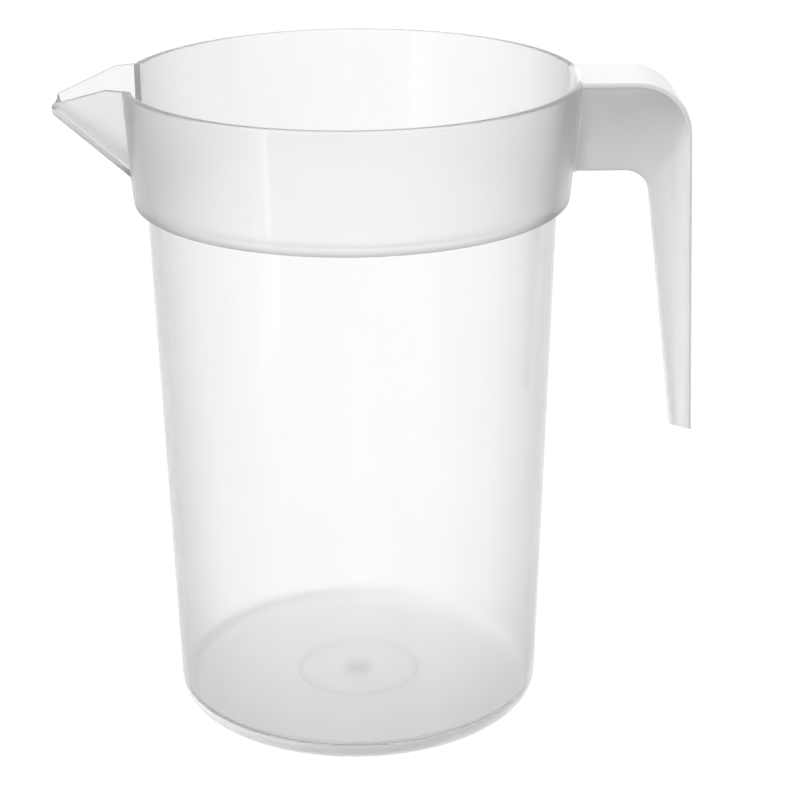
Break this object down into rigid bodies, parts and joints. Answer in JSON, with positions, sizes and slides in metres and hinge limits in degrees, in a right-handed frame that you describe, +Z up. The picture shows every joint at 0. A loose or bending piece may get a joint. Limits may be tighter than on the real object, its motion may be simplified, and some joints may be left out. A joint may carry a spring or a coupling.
{
  "type": "beer pitcher",
  "caption": "Tapered translucent plastic beer pitcher with a wide collar, a blunt folded spout and an open hook handle, for serving and pouring drinks.",
  "frame": {"origin": "on the body's axis, in the plane of the table that it stands on", "axes": "+Z up along the body's axis, +X towards the handle, -X towards the spout, +Y to the right of someone who holds the handle and pours"},
  "size_m": [0.1976, 0.1416, 0.205],
  "materials": {
    "milky_polypropylene": "smooth moulded, slightly hazy and see-through"
  },
  "bodies": {
    "root": {"base_pan": "milky_polypropylene", "gate_stub": "milky_polypropylene", "body_wall": "milky_polypropylene", "step_ledge": "milky_polypropylene", "collar_band": "milky_polypropylene", "rim_lip": "milky_polypropylene", "spout_floor": "milky_polypropylene", "spout_cheek_left": "milky_polypropylene", "spout_cheek_right": "milky_polypropylene", "handle_arm_strip": "milky_polypropylene", "handle_grip_strip": "milky_polypropylene", "handle_arm_web": "milky_polypropylene", "handle_grip_web": "milky_polypropylene"}
  },
  "joints": []
}
